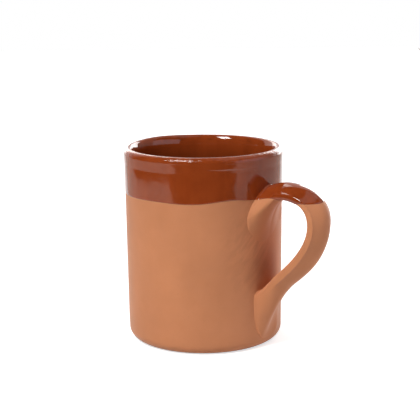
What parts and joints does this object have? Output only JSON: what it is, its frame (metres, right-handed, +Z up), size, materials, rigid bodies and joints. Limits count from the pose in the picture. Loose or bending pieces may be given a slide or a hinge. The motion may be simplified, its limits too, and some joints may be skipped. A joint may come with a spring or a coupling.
{
  "type": "clay mug",
  "caption": "Straight-sided clay mug with a pulled strap handle, bare outside, glazed inside and dipped in glaze at the rim.",
  "frame": {"origin": "middle of the flat underside", "axes": "+Z up along the axis of the mug, +X out through the middle of the handle"},
  "size_m": [0.1152, 0.0818, 0.1],
  "materials": {
    "clay": "matte",
    "slip": "matte",
    "glaze": "gloss"
  },
  "bodies": {
    "root": {"body": "clay", "handle": "clay", "upper_slip": "slip", "lower_slip": "slip", "liner_glaze": "glaze", "rim_glaze": "glaze", "handle_glaze": "glaze"}
  },
  "joints": []
}
